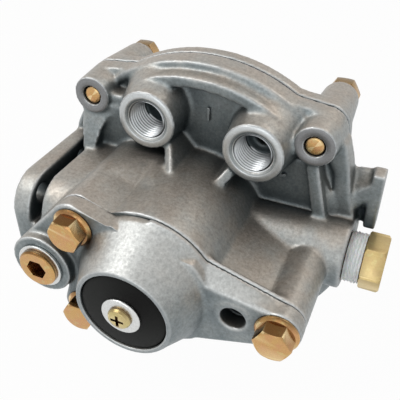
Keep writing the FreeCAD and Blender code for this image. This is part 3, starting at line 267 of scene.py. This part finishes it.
def thread_metal(name, center, pitch):
    """Cut thread with painted light: a painted highlight on the crests and painted shade in the roots along the helix.
    """
    n = Nodes(name)
    parts = n.add("ShaderNodeSeparateXYZ")
    n.link(n.coordinates, parts.inputs["Vector"])
    across = n.math("SUBTRACT", parts.outputs["X"], center[0])
    up = n.math("SUBTRACT", parts.outputs["Z"], center[2])
    turn = n.math("DIVIDE", n.math("ARCTAN2", up, across), 2 * math.pi)
    along = n.math("DIVIDE", n.math("SUBTRACT", parts.outputs["Y"], center[1]), pitch * MM)
    phase = n.math("FRACT", n.math("ADD", along, turn))
    ridge = n.math("ABSOLUTE", n.math("SUBTRACT", phase, 0.5))
    # Painted highlight on the crests, painted shade in the roots.
    color = n.ramp(ridge, [(0.0, (0.85, 0.87, 0.88)), (0.2, (0.55, 0.58, 0.60)), (0.42, (0.03, 0.03, 0.035))])
    tone = n.mix(0.25, color, n.ramp(n.noise(1500, 2.0), [(0.35, (0.6, 0.6, 0.6)), (0.65, (1, 1, 1))]), "MULTIPLY")
    return n.finish(tone, 0.34, None, Metallic=0.9)


def yellow_zinc(name, base, tint, rough=0.2, painted_top_shade=0.92):
    """Gold chromate over steel, with faint rainbow patches and handling marks, painted shade on its upward facets and
    in its crevices, and edges lightened partly by wear and partly as a painted glint.
    """
    n = Nodes(name)
    patch = n.noise(230, 3.0, 0.6)
    color = n.mix(n.span(patch, 0.4, 0.65, 0, 0.6), base, tint)
    color = n.mix(n.span(n.noise(420, 2.0), 0.58, 0.72, 0, 0.35), color, (0.62, 0.62, 0.30))
    color = n.mix(0.4, color, n.ramp(n.noise(1500, 2.0), [(0.3, (0.7, 0.7, 0.7)), (0.7, (1, 1, 1))]), "MULTIPLY")
    geometry = n.add("ShaderNodeNewGeometry")
    facing = n.add("ShaderNodeSeparateXYZ")
    n.link(geometry.outputs["Normal"], facing.inputs["Vector"])
    # Painted shade: facets that face up are darkened towards deep brown, as far as the last argument allows.
    color = n.mix(n.span(facing.outputs["Z"], 0.25, 0.75, 0, painted_top_shade), color, (0.10, 0.045, 0.013))
    # Edges lightened to bright gold by pointiness: partly edge wear, partly a painted glint.
    edge = n.span(geometry.outputs["Pointiness"], 0.52, 0.60, 0, 0.6)
    color = n.mix(edge, color, (0.90, 0.74, 0.42))
    # Painted shade: dark brown in crevices and under heads, where ambient occlusion finds the surface hemmed in.
    hidden = n.add("ShaderNodeAmbientOcclusion", samples=8)
    hidden.inputs["Distance"].default_value = 0.006
    color = n.mix(n.span(hidden.outputs["AO"], 0.3, 0.85, 0.85, 0.0), color, (0.07, 0.018, 0.008))
    marks = n.noise(900, 2.0, 0.6, stretch=(1.0, 1.0, 5.0))
    return n.finish(color, n.span(marks, 0.3, 0.75, rough, rough + 0.2), n.bump(marks, 0.18, 0.0001), Metallic=1.0)


def bright_steel(name="bright_steel", base=(0.74, 0.75, 0.74), rough=0.22):
    n = Nodes(name)
    marks = n.noise(1100, 3.0, 0.6)
    color = n.mix(0.6, base, n.ramp(marks, [(0.3, (0.7, 0.7, 0.7)), (0.7, (1, 1, 1))]), "MULTIPLY")
    return n.finish(color, n.span(marks, 0.3, 0.7, rough, rough + 0.16), n.bump(marks, 0.15, 0.0001), Metallic=1.0)


def black_rubber(name="rubber", tone=0.004):
    n = Nodes(name)
    dust = n.noise(1400, 3.0, 0.65)
    patch = n.noise(150, 2.0)
    color = n.mix(n.span(patch, 0.35, 0.7, 0.15, 0.6), (tone, tone, tone * 1.05), (tone * 1.9, tone * 1.9, tone * 2.0))
    color = n.mix(n.span(dust, 0.62, 0.8, 0, 0.2), color, (0.06, 0.06, 0.06))
    # Painted shade: the rubber is darkest around a point above and right of the centre and turns lighter grey away
    # from it.
    away = n.add("ShaderNodeVectorMath", operation="DISTANCE")
    n.link(n.coordinates, away.inputs[0])
    away.inputs[1].default_value = world(7.0, 0.0, 7.5)
    painted_shade_fade = n.span(away.outputs["Value"], 0.004, 0.016, 0.0, 1.0)
    color = n.mix(painted_shade_fade, (tone * 0.4, tone * 0.4, tone * 0.4), n.mix(0.5, color, (0.03, 0.032, 0.03)))
    return n.finish(color, n.span(dust, 0.3, 0.7, 0.42, 0.6), n.bump(dust, 0.2, 0.0001), Metallic=0.0,
                    Specular_IOR_Level=0.1)


def thread_tape():
    n = Nodes("thread_tape")
    folds = n.noise(500, 3.0, 0.6, stretch=(3.0, 1.0, 1.0))
    color = n.ramp(folds, [(0.3, (0.86, 0.87, 0.86)), (0.6, (0.97, 0.97, 0.96))])
    return n.finish(color, n.span(folds, 0.3, 0.7, 0.45, 0.65), n.bump(folds, 0.5, 0.0003), Metallic=0.0,
                    Subsurface_Weight=0.15)


def fibre_gasket():
    n = Nodes("gasket")
    fibre = n.noise(1300, 3.0, 0.7)
    color = n.ramp(fibre, [(0.3, (0.12, 0.12, 0.13)), (0.7, (0.22, 0.22, 0.22))])
    return n.finish(color, 0.8, n.bump(fibre, 0.4, 0.0001), Metallic=0.0)


CAST = cast_aluminium()
ZINC = yellow_zinc("yellow_zinc", (0.62, 0.38, 0.15), (0.62, 0.31, 0.17))
SCREW_ZINC = yellow_zinc("screw_zinc", (0.62, 0.52, 0.24), (0.55, 0.44, 0.24), 0.2, 0.5)
BRASS = yellow_zinc("brass_plug", (0.50, 0.38, 0.16), (0.50, 0.35, 0.17), 0.3, 0.3)
STEEL = bright_steel()
SPRING = bright_steel("spring_steel", (0.42, 0.42, 0.43), 0.3)
RUBBER = black_rubber()
TAPE = thread_tape()
GASKET = fibre_gasket()
PISTON = machined("piston_aluminium", world(0, 0, 0), (0.45, 0.46, 0.47))


# Mesh helpers

def new_object(name, mesh, material, body="housing"):
    piece = bpy.data.objects.new(name, mesh)
    bpy.context.scene.collection.objects.link(piece)
    mesh.materials.clear()
    mesh.materials.append(material)
    mesh.polygons.foreach_set("use_smooth", [True] * len(mesh.polygons))
    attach(piece, body)
    return piece


def joined_mesh(node, distance=0.00001):
    """A copy of a CAD node's mesh with its split vertices joined."""
    work = bmesh.new()
    work.from_mesh(frame["nodes"][node].data)
    bmesh.ops.remove_doubles(work, verts=work.verts, dist=distance)
    mesh = bpy.data.meshes.new(node + "_shape")
    work.to_mesh(mesh)
    work.free()
    return mesh


def apply_modifiers(piece):
    graph = bpy.context.evaluated_depsgraph_get()
    mesh = bpy.data.meshes.new_from_object(piece.evaluated_get(graph))
    piece.modifiers.clear()
    piece.data = mesh
    return mesh


def relax(mesh, rounds, keep):
    """Round the edges by averaging neighbours; keep gives each vertex's hold, 0 free to 1 fixed."""
    count = len(mesh.vertices)
    points = np.empty(count * 3)
    mesh.vertices.foreach_get("co", points)
    points = points.reshape(-1, 3)
    edges = np.empty(len(mesh.edges) * 2, int)
    mesh.edges.foreach_get("vertices", edges)
    first, second = edges.reshape(-1, 2).T
    degree = np.bincount(first, minlength=count) + np.bincount(second, minlength=count)
    degree = np.maximum(degree, 1)[:, None]
    free = (1 - keep(points))[:, None]
    for turn in range(rounds):
        for step in (0.55, -0.35):
            total = np.stack([np.bincount(first, points[second, axis], count)
                              + np.bincount(second, points[first, axis], count) for axis in range(3)], 1)
            points = points + step * free * (total / degree - points)
        points = points + 0.12 * free * (total / degree - points)
    mesh.vertices.foreach_set("co", points.ravel())
    mesh.update()


def reshape(mesh, form):
    """Move vertices by a rule that works on drawing coordinates."""
    points = np.empty(len(mesh.vertices) * 3)
    mesh.vertices.foreach_get("co", points)
    drawing = points.reshape(-1, 3) / MM - np.array(SHIFT)
    form(drawing)
    mesh.vertices.foreach_set("co", ((drawing + np.array(SHIFT)) * MM).ravel())


def casting(node, voxel, rounds, faces, keep, form=None):
    """A cast piece with rounded edges and fillets, made from its CAD node."""
    piece = new_object(node + "_casting", joined_mesh(node), CAST)
    remesh = piece.modifiers.new("remesh", "REMESH")
    remesh.mode = "VOXEL"
    remesh.voxel_size = voxel * MM * 1.0
    mesh = apply_modifiers(piece)
    if form:
        reshape(mesh, form)
    relax(mesh, rounds, keep)
    triangles = 2 * len(mesh.polygons)
    if triangles > faces:
        thin = piece.modifiers.new("thin", "DECIMATE")
        thin.ratio = faces / triangles
        mesh = apply_modifiers(piece)
    mesh.materials.clear()
    mesh.materials.append(CAST)
    mesh.polygons.foreach_set("use_smooth", [True] * len(mesh.polygons))
    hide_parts(node)
    return piece


def edged(node, material, width=0.25, segments=2, body="housing"):
    """A hard piece from its CAD node with small bevelled edges."""
    piece = new_object(node + "_edged", joined_mesh(node), material, body)
    bevel = piece.modifiers.new("bevel", "BEVEL")
    bevel.width = width * MM
    bevel.segments = segments
    bevel.limit_method = "ANGLE"
    bevel.angle_limit = math.radians(28)
    bevel.harden_normals = True
    mesh = apply_modifiers(piece)
    mesh.materials.clear()
    mesh.materials.append(material)
    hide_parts(node)
    return piece


def lathe(name, profile, center, material, axis="Y", steps=96, body="housing", shape=None):
    """A turned piece: profile is (radius, distance along the axis) in millimetres."""
    points, faces = [], []
    for row, (radius, along) in enumerate(profile):
        for step in range(steps):
            turn = 2 * math.pi * step / steps
            reach = shape(radius, along, turn) if shape else radius
            one, two = reach * math.cos(turn), reach * math.sin(turn)
            spot = (one, along, two) if axis == "Y" else (along, one, two)
            points.append(world(*(Vector(center) + Vector(spot))))
    for row in range(len(profile) - 1):
        for step in range(steps):
            after = (step + 1) % steps
            corner = [row * steps + step, row * steps + after, (row + 1) * steps + after, (row + 1) * steps + step]
            faces.append(corner)
    mesh = bpy.data.meshes.new(name)
    mesh.from_pydata(points, [], faces)
    work = bmesh.new()
    work.from_mesh(mesh)
    bmesh.ops.recalc_face_normals(work, faces=work.faces)
    work.to_mesh(mesh)
    work.free()
    piece = new_object(name, mesh, material, body)
    return piece


# Castings

def hold_planes(planes, discs=()):
    """Hold on machined faces: planes are (axis, level, reach) and discs (centre, radius, level)."""
    def keep(points):
        drawing = points / MM - np.array(SHIFT)
        hold = np.zeros(len(points))
        for axis, level, reach in planes:
            near = np.clip(1 - (np.abs(drawing[:, axis] - level) - 0.2) / reach, 0, 1)
            hold = np.maximum(hold, 0.75 * near)
        for (x, z), radius, level in discs:
            span = np.hypot(drawing[:, 0] - x, drawing[:, 2] - z)
            near = np.clip(1 - (np.abs(drawing[:, 1] - level) - 0.2) / 0.8, 0, 1) * (span < radius)
            hold = np.maximum(hold, 0.9 * near)
        return hold
    return keep


LOBE_TOP = (-27.0, 31.6)
LOBE_SLOPE = 0.313
CONE = (20.0, 0.5, 28.6, 17.3)


def lobe_line(drawing, radius):
    """Lowest height that a bolt seat's side leaves above the round body beside it."""
    x = drawing[:, 0]
    line = LOBE_TOP[1] - LOBE_SLOPE * (x - LOBE_TOP[0])
    circle = np.sqrt(np.maximum(radius ** 2 - x ** 2, 0))
    return np.maximum(line, circle)


def press_to(drawing, floor, chosen):
    """Lower chosen points to a floor, the same above and below the main axis."""
    height = np.abs(drawing[:, 2])
    side = np.sign(drawing[:, 2])
    chosen = chosen & (height > floor)
    drawing[chosen, 2] = (side * floor)[chosen]


def body_form(drawing):
    """Valleys between the lower bolt columns and the main tube, fading out behind."""
    x, y = drawing[:, 0], drawing[:, 1]
    beside = (x > LOBE_TOP[0]) & (x < 2.6) & (y > 21.0) & (y < 62.0) & (np.abs(drawing[:, 2]) < 33.0)
    fade = np.clip((y - 40.0) / 20.0, 0, 1) * 4.0
    press_to(drawing, lobe_line(drawing, 31.0) + fade, beside)


def cover_form(drawing):
    """Bolt seats that end at the barrel, and a barrel that runs on to the lip."""
    x, y = drawing[:, 0], drawing[:, 1]
    press_to(drawing, lobe_line(drawing, 29.6), (x > LOBE_TOP[0]) & (x < 2.6) & (y > 13.0))
    inner, start, outer, end = CONE
    cone = inner + (outer - inner) * (y - start) / (end - start)
    reach = np.hypot(x, drawing[:, 2])
    turn = np.degrees(np.arctan2(np.abs(drawing[:, 2]), x))
    arm = 25.2 / np.cos(np.radians(np.clip(72.7 - turn, 0, 80)))
    corner = -9.4 - 0.37 * (y - 14.5)
    target = np.maximum(cone, arm)
    chosen = (turn > 41.7) & (x > corner) & (y > 13.8) & (y < 19.2) & (reach > target)
    drawing[chosen, 0] *= (target / reach)[chosen]
    drawing[chosen, 2] *= (target / reach)[chosen]


port_discs = [(polar(PORT_CIRCLE, angle), 13.5, 59.0) for angle in PORT_ANGLES.values()]
lug_discs = [(polar(LUG_CIRCLE, angle), 8.6, 65.0) for angle in LUG_ANGLES]
casting("valve_body", 0.75, 8, 190000, hold_planes([(1, 21.5, 0.7), (1, 83.0, 0.7)], port_discs + lug_discs),
        body_form)
casting("exhaust_cover", 0.6, 8, 90000, hold_planes([(1, 21.5, 0.6), (1, 0.0, 0.6)], [((-43.5, 0), 14, 10.5)]),
        cover_form)
casting("relay_cover", 0.8, 8, 90000, hold_planes([(1, 83.8, 0.7)]))


# Threaded ports

THREAD_PITCH = 1.6


def thread(pitch, depth):
    """Radius of an internal thread that winds round its axis."""
    def shape(radius, along, turn):
        phase = (along / pitch + turn / (2 * math.pi)) % 1.0
        return radius - depth * (1 - abs(2 * phase - 1))
    return shape


def port(name, angle):
    x, z = polar(PORT_CIRCLE, angle)
    center = (x, 0, z)
    face = machined(f"{name}_face", world(x, 0, z), (0.70, 0.73, 0.735))
    lathe(f"{name}_port_face", [
        (12.2, 59.4), (12.2, 59.15), (12.0, 58.94), (9.9, 58.94), (9.7, 59.0), (8.2, 60.1)], center, face,
        steps=128)
    rows = [(8.22, 60.0 + 0.1 * step) for step in range(0, 134)]
    bright = thread_metal(f"{name}_thread", world(x, 0, z), THREAD_PITCH)
    lathe(f"{name}_port_thread", rows, center, bright, steps=96, shape=thread(THREAD_PITCH, 0.9))


for port_name, port_angle in PORT_ANGLES.items():
    port(port_name, port_angle)

for index, angle in enumerate(LUG_ANGLES):
    x, z = polar(LUG_CIRCLE, angle)
    lug_face = machined(f"lug_face_{index}", world(x, 0, z), (0.30, 0.305, 0.31), rough=0.36)
    lathe(f"lug_{index}_face", [(7.9, 65.3), (7.85, 65.02), (7.6, 64.92), (4.9, 64.92), (4.35, 65.4)],
          (x, 0, z), lug_face, steps=64)


lathe("exhaust_rim", [
    (18.06, 3.2), (18.03, 0.5), (18.15, 0.15), (18.45, 0.01), (19.4, 0.01), (19.8, 0.12), (20.02, 0.42),
    (20.35, 1.0), (20.7, 1.7)], (0, 0, 0), CAST, steps=160)


def number(name, text, x, z, height, turn):
    """A plain cast-in port number on the panel between the ports."""
    curve = bpy.data.curves.new(name, "FONT")
    curve.body = text
    curve.size = height * MM
    curve.extrude = 0.6 * MM
    curve.bevel_depth = 0.12 * MM
    curve.align_x = "CENTER"
    curve.align_y = "CENTER"
    letter = bpy.data.objects.new(name + "_curve", curve)
    bpy.context.scene.collection.objects.link(letter)
    graph = bpy.context.evaluated_depsgraph_get()
    mesh = bpy.data.meshes.new_from_object(letter.evaluated_get(graph))
    bpy.data.objects.remove(letter)
    mesh.transform(Matrix.Translation(world(x, 71.6, z)) @ Matrix.Rotation(math.radians(turn), 4, "Y")
                   @ Matrix.Rotation(math.radians(90), 4, "X"))
    piece = new_object(name, mesh, CAST)


number("port_number_1", "1", 4.0, 48.5, 8.0, 0)
number("port_number_2", "2", 36.0, 29.5, 8.0, -25)


# Fasteners and plugs

edged("exhaust_cover_bolts", ZINC, 0.3)
edged("relay_cover_bolts", ZINC, 0.3)
TIP_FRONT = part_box("relay_cover_bolts")[0].y / MM + 48.0
for index, angle in enumerate(LUG_ANGLES):
    x, z = polar(LUG_CIRCLE, angle)
    lathe(f"relay_cover_bolt_tip_{index}", [
        (3.88, TIP_FRONT + 0.6), (3.88, 66.3), (3.5, 65.8), (2.6, 65.62), (0.01, 65.55)], (x, 0, z), ZINC,
        steps=48)
edged("flap_screw", SCREW_ZINC, 0.15)
edged("flap_washer", STEEL, 0.15)
edged("socket_plug", ZINC, 0.25)
edged("socket_plug_washer", STEEL, 0.2)
edged("side_plug", BRASS, 0.35)
flap_low, flap_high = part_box("exhaust_flap")
FLAP_FRONT = flap_low.y / MM + 48.0
FLAP_BACK = flap_high.y / MM + 48.0
flap = lathe("exhaust_flap_dome", [
    (2.3, FLAP_BACK - 0.1), (17.5, FLAP_BACK - 0.1), (17.72, FLAP_BACK - 0.4), (17.74, FLAP_FRONT + 1.6),
    (17.6, FLAP_FRONT + 1.15), (17.1, FLAP_FRONT + 0.85), (15.5, FLAP_FRONT + 0.55), (13.0, FLAP_FRONT + 0.3),
    (10.5, FLAP_FRONT + 0.12), (8.3, FLAP_FRONT + 0.03), (2.3, FLAP_FRONT + 0.03)], (0, 0, 0), RUBBER,
    steps=128)
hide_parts("exhaust_flap")


def tape_shape(radius, along, turn):
    wave = 0.16 * math.sin(9 * turn + 2.1 * along) + 0.12 * math.sin(23 * turn - 3.7 * along)
    ridge = 0.22 * math.sin(2 * math.pi * along / 1.3 + 0.8 * math.sin(3 * turn))
    return radius + wave + ridge


tape_rows = [(10.0, 69.2)] + [(10.35, 69.3 + 0.16 * step) for step in range(0, 40)] + [(10.0, 75.7)]
tape = lathe("side_plug_tape_wrap", [(r, a) for r, a in tape_rows], (0, 66.0, 0), TAPE, axis="X",
             steps=160, shape=tape_shape)
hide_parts("side_plug_tape")


# Pieces that keep their CAD shape

for node, material in {
    "relay_cover_gasket": GASKET, "exhaust_cover_seal": RUBBER, "check_valve": PISTON, "check_valve_face": RUBBER,
    "check_valve_spring": SPRING, "relay_piston": PISTON, "relay_piston_seal": RUBBER,
    "inlet_exhaust_valve": PISTON, "inlet_valve_rubber": RUBBER, "valve_guide": PISTON, "valve_guide_seal": RUBBER,
    "retaining_ring": SPRING, "inlet_valve_spring": SPRING, "emergency_piston": PISTON,
    "emergency_piston_seal": RUBBER, "emergency_spring": SPRING,
}.items():
    mesh = frame["nodes"][node].data
    mesh.materials.clear()
    mesh.materials.append(material)


# Floor, world and lamps

def floor_material():
    """White to the camera, with only a soft shadow."""
    n = Nodes("floor")
    out = n.tree.nodes["Material Output"]
    path = n.add("ShaderNodeLightPath")
    glow = n.add("ShaderNodeEmission")
    glow.inputs["Color"].default_value = (1, 1, 1, 1)
    glow.inputs["Strength"].default_value = 1.0
    blend = n.add("ShaderNodeMixShader")
    shown = n.math("MAXIMUM", path.outputs["Is Camera Ray"], path.outputs["Is Glossy Ray"])
    factor = n.math("MULTIPLY", n.math("MAXIMUM", shown, path.outputs["Is Transmission Ray"]), 0.97)
    n.shader.inputs["Base Color"].default_value = (0.9, 0.9, 0.9, 1)
    n.shader.inputs["Roughness"].default_value = 0.9
    n.link(factor, blend.inputs["Fac"])
    n.link(n.shader.outputs["BSDF"], blend.inputs[1])
    n.link(glow.outputs["Emission"], blend.inputs[2])
    n.link(blend.outputs["Shader"], out.inputs["Surface"])
    return n.material


floor_mesh = bpy.data.meshes.new("floor")
FLOOR_Z = cad_low.z - 0.0005
floor_mesh.from_pydata([(-8, -8, FLOOR_Z), (8, -8, FLOOR_Z), (8, 8, FLOOR_Z), (-8, 8, FLOOR_Z)], [], [(0, 1, 2, 3)])
floor = bpy.data.objects.new("floor", floor_mesh)
bpy.context.scene.collection.objects.link(floor)
floor_mesh.materials.append(floor_material())

sky = bpy.data.worlds.new("studio")
bpy.context.scene.world = sky
sky.use_nodes = True
tree = sky.node_tree
tree.nodes.clear()
output = tree.nodes.new("ShaderNodeOutputWorld")
seen = tree.nodes.new("ShaderNodeBackground")
seen.inputs["Color"].default_value = (1, 1, 1, 1)
lit = tree.nodes.new("ShaderNodeBackground")
lit.inputs["Strength"].default_value = 0.95
where = tree.nodes.new("ShaderNodeTexCoord")
split = tree.nodes.new("ShaderNodeSeparateXYZ")
height = tree.nodes.new("ShaderNodeValToRGB")
height.color_ramp.elements[0].position = 0.40
height.color_ramp.elements[0].color = (0.62, 0.68, 0.72, 1)
height.color_ramp.elements[1].position = 0.85
height.color_ramp.elements[1].color = (0.10, 0.075, 0.06, 1)
rise = tree.nodes.new("ShaderNodeMapRange")
rise.inputs["From Min"].default_value = -1
tree.links.new(where.outputs["Generated"], split.inputs["Vector"])
tree.links.new(split.outputs["Z"], rise.inputs["Value"])
tree.links.new(rise.outputs["Result"], height.inputs["Fac"])
tree.links.new(height.outputs["Color"], lit.inputs["Color"])
rays = tree.nodes.new("ShaderNodeLightPath")
choose = tree.nodes.new("ShaderNodeMixShader")
bare = rays.outputs["Is Camera Ray"]
for kind in ("Is Glossy Ray", "Is Transmission Ray"):
    either = tree.nodes.new("ShaderNodeMath")
    either.operation = "MAXIMUM"
    tree.links.new(bare, either.inputs[0])
    tree.links.new(rays.outputs[kind], either.inputs[1])
    bare = either.outputs["Value"]
tree.links.new(bare, choose.inputs["Fac"])
tree.links.new(lit.outputs["Background"], choose.inputs[1])
tree.links.new(seen.outputs["Background"], choose.inputs[2])
tree.links.new(choose.outputs["Shader"], output.inputs["Surface"])


def lamp(name, place, target, size, power, color=(1, 1, 1)):
    data = bpy.data.lights.new(name, "AREA")
    data.shape = "DISK"
    data.size = size
    data.energy = power
    data.color = color
    light = bpy.data.objects.new(name, data)
    bpy.context.scene.collection.objects.link(light)
    light.location = place
    light.rotation_mode = "QUATERNION"
    light.rotation_quaternion = (Vector(target) - Vector(place)).to_track_quat("-Z", "Y")
    return light


CENTER = world(5, 50, 0)
lamp("key", (-0.45, -0.35, 0.80), CENTER, 0.7, 4.2, (1.0, 0.985, 0.97))
lamp("front", (0.10, -0.95, 0.30), CENTER, 0.6, 1.2, (0.94, 0.97, 1.0))
lamp("rim", (0.45, 0.45, 0.75), CENTER, 0.5, 1.2, (1.0, 0.97, 0.93))
